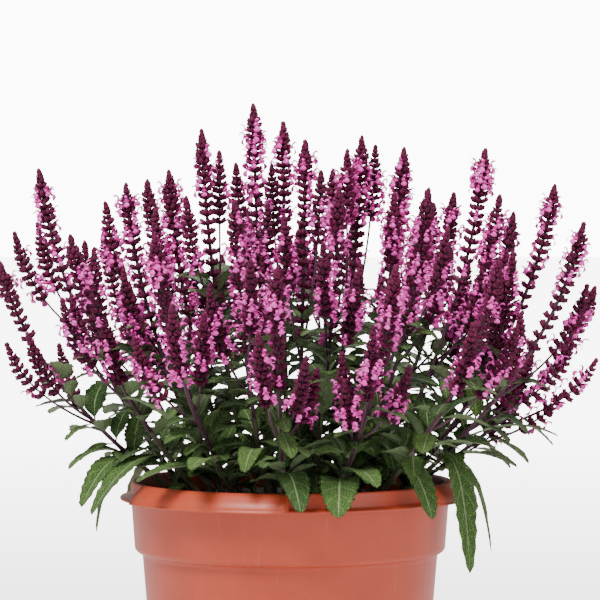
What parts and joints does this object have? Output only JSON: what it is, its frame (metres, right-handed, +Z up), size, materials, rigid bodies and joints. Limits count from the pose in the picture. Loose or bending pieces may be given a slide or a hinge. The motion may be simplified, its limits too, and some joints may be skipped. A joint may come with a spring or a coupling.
{
  "type": "potted perennial salvia",
  "caption": "Bushy clump of flowering sage with upright dark flower spikes and wrinkled green leaves, in a round terracotta-coloured plant pot with a broad rim.",
  "frame": {"origin": "centre of the pot's underside, where it rests on the ground", "axes": "+Z up along the pot's axis, -Y towards the viewer of the plant's front, +X to that viewer's right"},
  "size_m": [0.5114, 0.3933, 0.552],
  "materials": {
    "pot": "satin",
    "soil": "rough",
    "foliage": "matte",
    "bloom": "matte"
  },
  "bodies": {
    "root": {"pot": "pot", "soil": "soil", "foliage_00": "foliage", "bloom_00": "bloom", "foliage_01": "foliage", "bloom_01": "bloom", "foliage_02": "foliage", "bloom_02": "bloom", "foliage_03": "foliage", "bloom_03": "bloom", "foliage_04": "foliage", "bloom_04": "bloom", "foliage_05": "foliage", "bloom_05": "bloom", "foliage_06": "foliage", "bloom_06": "bloom", "foliage_07": "foliage", "bloom_07": "bloom", "foliage_08": "foliage", "bloom_08": "bloom", "foliage_09": "foliage", "bloom_09": "bloom", "foliage_10": "foliage", "bloom_10": "bloom", "foliage_11": "foliage", "bloom_11": "bloom", "foliage_12": "foliage", "bloom_12": "bloom", "foliage_13": "foliage", "bloom_13": "bloom", "foliage_14": "foliage", "bloom_14": "bloom", "foliage_15": "foliage", "bloom_15": "bloom", "foliage_16": "foliage", "bloom_16": "bloom", "foliage_17": "foliage", "bloom_17": "bloom", "foliage_18": "foliage", "bloom_18": "bloom", "foliage_19": "foliage", "bloom_19": "bloom", "foliage_20": "foliage", "bloom_20": "bloom", "foliage_21": "foliage", "bloom_21": "bloom", "foliage_22": "foliage", "bloom_22": "bloom", "foliage_23": "foliage", "bloom_23": "bloom", "foliage_24": "foliage", "bloom_24": "bloom", "foliage_25": "foliage", "bloom_25": "bloom", "foliage_26": "foliage", "bloom_26": "bloom", "foliage_27": "foliage", "bloom_27": "bloom", "foliage_28": "foliage", "bloom_28": "bloom"}
  },
  "joints": []
}
